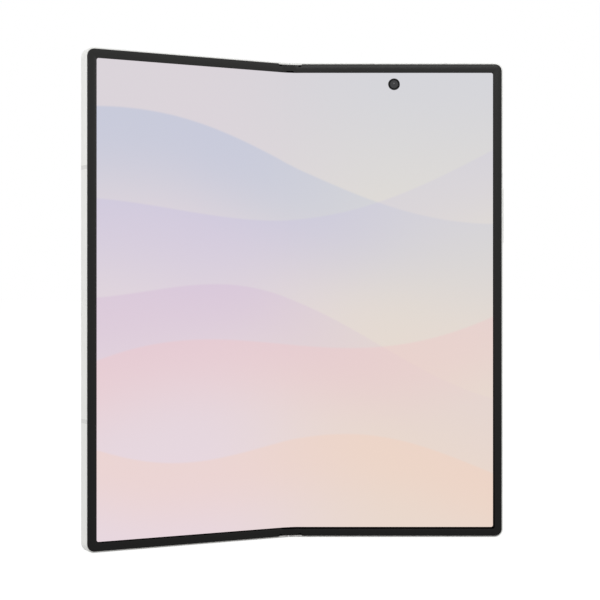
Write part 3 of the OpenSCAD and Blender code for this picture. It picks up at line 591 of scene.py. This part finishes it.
LENS_RIM = surface("lens_rim", (0.008, 0.008, 0.008), (0.006, 0.006, 0.006), (0.3, 0.4), specular=0.09)
INNER_LENS = surface("inner_lens", (0.030, 0.030, 0.032), (0.024, 0.024, 0.026), (0.08, 0.12),
                     specular=0.4, coat=0.1)
FLASH_LENS = surface("flash_lens", (0.93, 0.90, 0.76), (0.88, 0.84, 0.68), (0.1, 0.2), grain=2500.0)
DISPLAY = display_material()

NODE_FINISH = {
    FRAME_WHITE: ["right_frame", "left_frame", "card_tray", "volume_key", "side_key"],
    BREAK_PLASTIC: ["right_antenna_breaks", "left_antenna_breaks"],
    PLATE_METAL: ["right_mid_plate", "left_mid_plate", "board_shields", "usb_shell",
                  "vibration_motor", "card_reader"],
    BACK_GLASS: ["right_back_glass"],
    BATTERY: ["right_battery", "left_battery"],
    BOARD: ["main_board", "sub_board", "left_board"],
    PART_BLACK: ["inner_camera", "rear_cameras", "loudspeaker", "usb_tongue", "cover_display",
                 "cover_camera", "earpiece"],
    CONTACT: ["key_switches", "friction_washers"],
    COPPER: ["charging_coil"],
    HINGE_STEEL: ["right_hinge_arms", "left_hinge_arms", "hinge_bases", "gear_shafts",
                  "right_idler_gears", "left_idler_gears"],
    SCREW_STEEL: ["right_hinge_screws", "left_hinge_screws", "right_board_screws",
                  "left_board_screws"],
    MAGNET: ["right_magnets", "left_magnets"],
    SPINE_WHITE: ["spine_cover", "spine_end_caps"],
    COVER_GLASS: ["cover_glass"],
    ISLAND_METAL: ["camera_island"],
    RING_METAL: ["lens_rings"],
    LENS_GLASS: ["lens_glasses", "inner_camera_lens"],
    FLASH_LENS: ["flash_lamp"],
    BEZEL_BLACK: ["right_bezel", "left_bezel", "fold_bezel_top", "fold_bezel_bottom"],
}
for finish, names in NODE_FINISH.items():
    for name in names:
        NODES[name].data.materials.clear()
        NODES[name].data.materials.append(finish)

# ---------------------------------------------------------------- display

SIDES = {"right": (RIGHT, "right_half"), "left": (LEFT, "left_half")}


def display_sheet(side):
    """One half of the flexible display, flat at first, with the camera hole on the right one."""
    place, body = SIDES[side]
    x1 = HALF_W - PANEL_INSET
    bm = bmesh.new()
    verts = rectangle(bm, 0.0, x1, PANEL_INSET, HEIGHT - PANEL_INSET)
    rounded_corners(bm, verts, x1, PANEL_CORNER, segments=6)
    cuts = [ZONE_W * i / ZONE_CUTS for i in range(1, ZONE_CUTS + 1)] + [FLEX_END]
    for x in cuts:
        cut(bm, (x, 0, 0), (1, 0, 0))
    if side == "right":
        camera_hole(bm)
    uv = bm.loops.layers.uv.new("flat")
    sign = 1 if side == "right" else -1
    for v in thicken(bm, FLEX_T):
        if v.co.x > FLEX_END - 0.05:
            v.co.y = PANEL_T
    for face in bm.faces:
        for loop in face.loops:
            loop[uv].uv = (0.5 + sign * loop.vert.co.x / HEIGHT, loop.vert.co.z / HEIGHT)
    bend_zone(bm)
    piece = finished(bm, side + "_display", place, body, DISPLAY,
                     blend=("spine", body, zone_at(0.0), zone_at(ZONE_W)))
    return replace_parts(piece, side + "_display_panel", "display_fold_zone")


def zone_at(x, y=0.0):
    angle = REST_TURN * (1 - eased(x / ZONE_W))
    return about(AXIS_X, AXIS_Y, angle) @ Vector((x, y, HEIGHT / 2))


def cut(bm, at, across):
    geom = list(bm.verts) + list(bm.edges) + list(bm.faces)
    bmesh.ops.bisect_plane(bm, geom=geom, dist=1e-6, plane_co=at, plane_no=across)


def camera_hole(bm):
    """Cuts a round hole for the inner camera out of the flat sheet."""
    cx, cz = INNER_CAM
    for s in (-1, 1):
        cut(bm, (cx + s * INNER_SQUARE, 0, 0), (1, 0, 0))
        cut(bm, (0, 0, cz + s * INNER_SQUARE), (0, 0, 1))

    def around(face):
        centre = face.calc_center_median()
        return abs(centre.x - cx) < 0.1 and abs(centre.z - cz) < 0.1
    square = [f for f in bm.faces if around(f)]
    edges = list(square[0].edges)
    bmesh.ops.subdivide_edges(bm, edges=edges, cuts=11)
    square = [f for f in bm.faces if around(f)]
    bmesh.ops.inset_region(bm, faces=square, thickness=0.5, use_even_offset=True)
    square = [f for f in bm.faces if around(f)]
    middle = Vector((cx, 0, cz))
    for v in square[0].verts:
        v.co = middle + (v.co - middle).normalized() * INNER_HOLE_R
    bmesh.ops.delete(bm, geom=square, context="FACES_ONLY")


# ---------------------------------------------------------------- bezels


# How far the seal laps on to the display, down the outer side and along the bottom, as a painted shadow at
# the rim's inner edge
SEAL_SHADOW_LAP = {"right": (0.04, 0.08), "left": (0.11, 0.05)}
# How wide the seal shows inside the rim, at the foot of the outer side and along the bottom: a painted shadow
# in the gap between rim and display
SEAL_SHADOW_SHOWN = {"right": (WIDEST_SEAL_SHADOW, WIDEST_SEAL_SHADOW), "left": (0.0, 0.3)}
# How far the rim stands in from the half's outer side
SIDE_STEP = {"right": RIM_INSET + RIM_PLAY, "left": RIM_INSET - 0.1}


def crowned(bm):
    """Arches the front of a rim a little between its outer and inner edge."""
    for v in bm.verts:
        from_edge = min(HALF_W - v.co.x, v.co.z, HEIGHT - v.co.z)
        t = (from_edge - RIM_INSET) / (RIM_W - RIM_INSET)
        v.co.y = -RIM_H + CROWN * (2 * min(max(t, 0.0), 1.0) - 1) ** 2


def bezel(side):
    """The raised soft rim round three sides of a half."""
    place, body = SIDES[side]
    beside, below = SEAL_SHADOW_SHOWN[side]
    step = RIM_INSET + RIM_PLAY
    bm = bmesh.new()
    open_outline(bm, -RIM_H, CORNER_R - RIM_INSET, step, SIDE_STEP[side], step)
    # The inner line stands back at the foot of the outer side and along the bottom, to show the black seal as
    # a painted shadow.
    open_outline(bm, -RIM_H, SCREEN_R, RIM_W, RIM_W, RIM_W - below, taper=beside)
    across = bmesh.ops.bridge_loops(bm, edges=list(bm.edges))["edges"]
    bmesh.ops.subdivide_edges(bm, edges=across, cuts=7, use_grid_fill=True)
    crowned(bm)
    for v in thicken(bm, RIM_H):
        v.co.y = 0.0
    front = [e for e in sharp_edges(bm) if all(v.co.y < -0.2 for v in e.verts)
             and not all(v.co.x < ZONE_W + 1e-4 for v in e.verts)]
    soften(bm, front, RIM_SOFT)
    piece = finished(bm, side + "_rim", place, body, BEZEL_BLACK)
    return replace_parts(piece, side + "_bezel")


def seal(side):
    """The thin black seal between the rim and the display; where it shows inside the rim it is a painted
    shadow.
    """
    place, body = SIDES[side]
    lap_beside, lap_below = SEAL_SHADOW_LAP[side]
    bm = bmesh.new()
    hidden = RIM_W - SEAL_W
    open_outline(bm, -SEAL_H, SCREEN_R, hidden, hidden, hidden)
    # The inner line laps on to the display, a painted shadow at the rim's inner edge.
    open_outline(bm, -SEAL_H, SCREEN_R, RIM_W, RIM_W + lap_beside, RIM_W + lap_below)
    bmesh.ops.bridge_loops(bm, edges=list(bm.edges))
    thicken(bm, SEAL_H)
    return finished(bm, side + "_seal", place, body, SEAL_AND_SHADOW_BLACK)


def fold_shadow_seal(side, end):
    """The same seal under the flexible end of the rim, showing as a painted shadow at its inner edge."""
    place, body = SIDES[side]
    edge = STRIP_IN + RIM_PLAY
    z0, z1 = {"top": (HEIGHT - RIM_W, HEIGHT - edge), "bottom": (edge, RIM_W + SEAL_SHADOW_LAP[side][1])}[end]
    bm = bmesh.new()
    rectangle(bm, 0.0, ZONE_W, z0, z1, -SEAL_H, cuts_x=12)
    thicken(bm, SEAL_H)
    bend_zone(bm)
    return finished(bm, f"{side}_fold_shadow_seal_{end}", place, body, SEAL_AND_SHADOW_BLACK,
                    blend=("spine", body, zone_at(0.0), zone_at(ZONE_W)))


def fold_rim(side, end):
    """The flexible end of the rim over the hinge, half of it on each side of the fold.

    Its inner edge has a notch in the middle of the top, and stands back at the bottom, to show the black seal
    as a painted shadow.
    """
    place, body = SIDES[side]
    up = 1 if end == "top" else -1
    edge = HEIGHT if end == "top" else 0.0
    bm = bmesh.new()
    rectangle(bm, 0.0, ZONE_W - ZONE_GAP, 0.0, 1.0, -RIM_H, cuts_x=44, cuts_z=8)
    for v in bm.verts:
        x = v.co.x
        # The inner edge stands back to show the black seal: a painted shadow along the bottom, and a notch of
        # painted shadow in the top.
        inner = RIM_W - WIDEST_SEAL_SHADOW + (WIDEST_SEAL_SHADOW - SEAL_SHADOW_SHOWN[side][1]) * eased(x / ZONE_W)
        if end == "top":
            inner = RIM_W - WIDEST_SEAL_SHADOW * eased((NOTCH_SHADE_W - x) / NOTCH_SHADE_SLOPE)
        v.co.z = edge - up * (inner + (STRIP_IN - inner) * v.co.z)
    crowned(bm)
    for v in thicken(bm, RIM_H - STRIP_LIFT):
        v.co.y = -STRIP_LIFT
    long_edges = [e for e in sharp_edges(bm)
                  if all(v.co.y < -STRIP_LIFT - 0.1 for v in e.verts)
                  and abs(e.verts[0].co.x - e.verts[1].co.x) > 1e-3]
    soften(bm, long_edges, STRIP_SOFT, segments=2)
    bend_zone(bm)
    piece = finished(bm, f"{side}_fold_rim_{end}", place, body, BEZEL_BLACK,
                     blend=("spine", body, zone_at(0.0), zone_at(ZONE_W)))
    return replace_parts(piece, "fold_bezel_" + end)


def shadow_in_fold_slot(side, end):
    """A small black patch on the strip beside each end of the rim: a painted shadow in the slot there."""
    place, body = SIDES[side]
    up = 1 if end == "top" else -1
    edge = HEIGHT if end == "top" else 0.0
    z = edge - up * (STRIP_IN + SLOT_IN)
    bm = bmesh.new()
    rectangle(bm, *SLOT_ENDS, z - SLOT_H / 2, z + SLOT_H / 2, cuts_x=4)
    for x in SLOT_ENDS:
        rounded_corners(bm, bm.verts, x, SLOT_CORNER, segments=3)
    crowned(bm)
    moved(bm, y=-SLOT_LIFT)
    thicken(bm, SLOT_T)
    bend_zone(bm)
    return finished(bm, f"{side}_shadow_in_fold_slot_{end}", place, body, SEAL_AND_SHADOW_BLACK,
                    blend=("spine", body, zone_at(0.0), zone_at(ZONE_W)))


def flex_cable(side):
    """The flat cable across the hinge, half of it on each side of the fold."""
    place, body = SIDES[side]
    bm = bmesh.new()
    rectangle(bm, 0.0, CABLE_END, CABLE_LOW, CABLE_HIGH, CABLE_Y, cuts_x=24)
    thicken(bm, CABLE_T)
    bend_zone(bm)
    piece = finished(bm, side + "_flex_cable", place, body, COPPER,
                     blend=("spine", body, zone_at(0.0), zone_at(ZONE_W)))
    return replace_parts(piece, "hinge_flex")


for side in SIDES:
    display_sheet(side)
    bezel(side)
    seal(side)
    for end in ("top", "bottom"):
        fold_rim(side, end)
        fold_shadow_seal(side, end)
        shadow_in_fold_slot(side, end)
    flex_cable(side)

# ---------------------------------------------------------------- cameras


def inner_camera():
    """The small camera in the display: a black ring round a flat lens with a bead in its middle."""
    x, z = INNER_CAM
    r, hole, back = INNER_CAM_R, INNER_LENS_R + 0.02, INNER_LENS_BACK + 0.01
    ring = lathe([(hole, back), (r, back), (r, 0.06), (r - 0.04, 0.02), (hole + 0.06, 0.02), (hole, 0.08),
                  (hole, back)])
    finished(moved(ring, x, 0, z), "inner_camera_ring", RIGHT, "right_half", LENS_RIM)
    bead = [(0.0, 0.035), (0.09, 0.038), (0.18, 0.052), (0.26, 0.074), (0.32, 0.083)]
    flat = [(0.8, 0.086), (INNER_LENS_R - 0.01, 0.09), (INNER_LENS_R, 0.10)]
    lens = lathe(bead + flat + [(INNER_LENS_R, INNER_LENS_BACK), (0.0, INNER_LENS_BACK)])
    glass = finished(moved(lens, x, 0, z), "inner_camera_dome", RIGHT, "right_half", INNER_LENS)
    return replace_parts(glass, "inner_camera_lens")


def ring_of(bm, x, z, r, y, steps=64):
    """A closed round line, for an outline or a hole."""
    verts = [bm.verts.new((x + r * math.cos(a), y, z + r * math.sin(a)))
             for a in (math.tau * i / steps for i in range(steps))]
    for a, b in zip(verts, verts[1:] + verts[:1]):
        bm.edges.new((a, b))


def camera_island():
    """The long raised island, soft along its outer edge, with a hole for each camera."""
    bm = bmesh.new()
    ring_of(bm, ISLAND_X, CAM_ZS[1], ISLAND_R, BODY_T)
    for v in bm.verts:
        v.co.z += math.copysign(CAM_ZS[0] - CAM_ZS[1], v.co.z - CAM_ZS[1] + 1e-6)
    for z in CAM_ZS:
        ring_of(bm, ISLAND_X, z, CAM_R + ISLAND_PLAY, BODY_T)
    bmesh.ops.triangle_fill(bm, use_beauty=True, edges=list(bm.edges))
    thicken(bm, ISLAND_Y - BODY_T)

    def outside(v):
        middle = min(max(v.co.z, CAM_ZS[2]), CAM_ZS[0])
        from_middle = math.hypot(v.co.x - ISLAND_X, v.co.z - middle)
        return v.co.y > ISLAND_Y - 1e-4 and from_middle > ISLAND_R - 0.5
    outer = [e for e in sharp_edges(bm) if all(outside(v) for v in e.verts)]
    soften(bm, outer, ISLAND_SOFT, segments=5)
    piece = finished(bm, "island_body", RIGHT, "right_half", ISLAND_METAL)
    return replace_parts(piece, "camera_island")


def rear_lens(index, z):
    """A turned metal ring round a domed cover with the small lens behind it."""
    top, rim, hole = RING_TOP, RING_R, GLASS_R + GLASS_PLAY
    ring = lathe([(hole, ISLAND_Y), (rim, ISLAND_Y), (rim, top - 0.22), (rim - 0.06, top - 0.08),
                  (rim - 0.2, top), (CAM_R + 0.2, top), (CAM_R - 0.1, top - 0.05), (hole, top - 0.28),
                  (hole, ISLAND_Y)], 72)
    piece = finished(moved(ring, ISLAND_X, 0, z), f"rear_ring_{index}", RIGHT, "right_half", RING_METAL)
    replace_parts(piece, "lens_rings")
    small_lens = [(0.0, top - 0.24), (0.7, top - 0.26), (1.3, top - 0.33), (1.6, top - 0.42)]
    cover = [(1.7, top - 0.42), (1.8, top - 0.32), (2.6, top - 0.27), (4.0, top - 0.24),
             (4.35, top - 0.27), (GLASS_R, top - 0.34), (GLASS_R, GLASS_BACK), (0.0, GLASS_BACK)]
    glass = moved(lathe(small_lens + cover, 72), ISLAND_X, 0, z)
    piece = finished(glass, f"rear_lens_{index}", RIGHT, "right_half", LENS_GLASS)
    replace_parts(piece, "lens_glasses")


def flash_lens():
    """A round lens with fine rings pressed into it."""
    x, z = FLASH
    face, back = BODY_T - 0.06, BODY_T - FLASH_T
    steps = [(0.0, face)]
    for i in range(1, FLASH_STEPS):
        r = i * FLASH_R / FLASH_STEPS
        steps += [(r - 0.06, face), (r, face - 0.1), (r + 0.05, face)]
    steps += [(FLASH_R - 0.08, BODY_T - 0.03), (FLASH_R, BODY_T - 0.1), (FLASH_R, back), (0.0, back)]
    piece = finished(moved(lathe(steps), x, 0, z), "flash_rings", RIGHT, "right_half", FLASH_LENS)
    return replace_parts(piece, "flash_lamp")


def cover_eye():
    """The lens of the cover camera, seen through the cover glass."""
    x, z = COVER_CAM
    bm = lathe([(0.0, BODY_T + 0.012), (0.8, BODY_T + 0.012), (0.95, BODY_T + 0.003),
                (1.05, BODY_T + 0.010), (COVER_CAM_R, BODY_T + 0.006), (COVER_CAM_R + 0.02, BODY_T - 0.02),
                (0.0, BODY_T - 0.02)])
    return finished(moved(bm, x, 0, z), "cover_eye", LEFT, "left_half", LENS_GLASS)


inner_camera()
camera_island()
for index, z in enumerate(CAM_ZS, 1):
    rear_lens(index, z)
flash_lens()
cover_eye()

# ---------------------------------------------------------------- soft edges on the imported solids

# Width of the soft edge on each node, in mm
SOFT_EDGES = {
    "volume_key": 0.25, "side_key": 0.2, "card_tray": 0.06, "usb_shell": 0.05, "usb_tongue": 0.08,
    "cover_glass": 0.1, "right_back_glass": 0.06, "spine_cover": 0.06, "spine_end_caps": 0.08,
    "main_board": 0.04, "sub_board": 0.04, "left_board": 0.04, "board_shields": 0.05,
    "right_battery": 0.25, "left_battery": 0.25, "right_hinge_arms": 0.04, "left_hinge_arms": 0.04,
}
for name, width in SOFT_EDGES.items():
    node = NODES[name]
    weld = node.modifiers.new("weld", "WELD")
    weld.merge_threshold = 1e-6
    soft = node.modifiers.new("soft_edges", "BEVEL")
    soft.width = width * MM
    soft.segments = 3
    soft.limit_method = "ANGLE"
    soft.angle_limit = math.radians(40)
    soft.use_clamp_overlap = True

# ---------------------------------------------------------------- room, lamps and camera

FLOOR_R = 60.0
FLOOR_DROP = 0.05 * MM
FLOOR_GLOW = 0.93
FLOOR_SHADE = 0.15
ROOM_LIGHT = 0.5

# Place in m, width in m and power in W; each one points at the middle of the phone
LAMPS = {
    "key_lamp": ((-1.2, -0.7, 0.6), 0.9, 7.0),
    "fill_lamp": ((1.35, -0.15, 0.6), 0.8, 5.0),
    "front_lamp": ((0.05, -1.15, 0.7), 0.5, 3.0),
    "back_lamp": ((0.2, 1.3, 0.6), 1.0, 4.0),
}
LAMP_AIM = (0, 0, 0.08)

# In mm in the right half's frame: across from the fold, in front of the display and up
CAMERA_PLACE = (3.774, -503.39, 79.211)
CAMERA_LENS = 90.43
CAMERA_SENSOR = 36.0


def seen_rays(tree):
    """1 where something is seen, straight, in a reflection or through glass."""
    path = add(tree, "LightPath")
    seen = math_node(tree, "MAXIMUM", path.outputs["Is Camera Ray"], path.outputs["Is Glossy Ray"])
    return math_node(tree, "MAXIMUM", seen, path.outputs["Is Transmission Ray"])


def room_white(name, glow_strength, shade):
    """White where it is seen, with room for a shadow; plain diffuse white as a light bounce."""
    material = bpy.data.materials.new(name)
    material.use_nodes = True
    tree = material.node_tree
    tree.nodes.clear()
    plain = add(tree, "BsdfDiffuse")
    plain.inputs["Color"].default_value = (0.6, 0.6, 0.6, 1)
    soft = add(tree, "BsdfDiffuse")
    soft.inputs["Color"].default_value = (shade, shade, shade, 1)
    glow = add(tree, "Emission")
    glow.inputs["Strength"].default_value = glow_strength
    both = add(tree, "AddShader")
    tree.links.new(soft.outputs[0], both.inputs[0])
    tree.links.new(glow.outputs[0], both.inputs[1])
    mix = add(tree, "MixShader")
    tree.links.new(seen_rays(tree), mix.inputs["Fac"])
    tree.links.new(plain.outputs[0], mix.inputs[1])
    tree.links.new(both.outputs[0], mix.inputs[2])
    tree.links.new(mix.outputs[0], add(tree, "OutputMaterial").inputs["Surface"])
    return material


def floor():
    bm = bmesh.new()
    bmesh.ops.create_circle(bm, cap_ends=True, segments=96, radius=FLOOR_R)
    mesh = bpy.data.meshes.new("floor")
    bm.to_mesh(mesh)
    bm.free()
    made = bpy.data.objects.new("floor", mesh)
    bpy.context.scene.collection.objects.link(made)
    made.location.z = -FLOOR_DROP
    mesh.materials.append(room_white("floor_white", FLOOR_GLOW, FLOOR_SHADE))


def world():
    made = bpy.data.worlds.new("studio")
    bpy.context.scene.world = made
    made.use_nodes = True
    tree = made.node_tree
    tree.nodes.clear()
    light = add(tree, "Background")
    light.inputs["Strength"].default_value = ROOM_LIGHT
    white = add(tree, "Background")
    for background in (light, white):
        background.inputs["Color"].default_value = (1, 1, 1, 1)
    mix = add(tree, "MixShader")
    tree.links.new(seen_rays(tree), mix.inputs["Fac"])
    tree.links.new(light.outputs[0], mix.inputs[1])
    tree.links.new(white.outputs[0], mix.inputs[2])
    tree.links.new(mix.outputs[0], add(tree, "OutputWorld").inputs["Surface"])


def lamp(name, place, size, power):
    data = bpy.data.lights.new(name, "AREA")
    data.shape = "DISK"
    data.size = size
    data.energy = power
    made = bpy.data.objects.new(name, data)
    bpy.context.scene.collection.objects.link(made)
    made.location = place
    made.rotation_euler = (Vector(LAMP_AIM) - Vector(place)).to_track_quat("-Z", "Y").to_euler()


def camera():
    data = bpy.data.cameras.new("camera")
    data.lens = CAMERA_LENS
    data.sensor_width = CAMERA_SENSOR
    data.clip_start = 0.01
    made = bpy.data.objects.new("camera", data)
    bpy.context.scene.collection.objects.link(made)
    made.location = RIGHT @ Vector(CAMERA_PLACE)
    made.rotation_euler = (math.radians(90), 0, 0)
    bpy.context.scene.camera = made


floor()
world()
for name, (place, size, power) in LAMPS.items():
    lamp(name, place, size, power)
camera()
bpy.context.scene.view_settings.view_transform = "Standard"
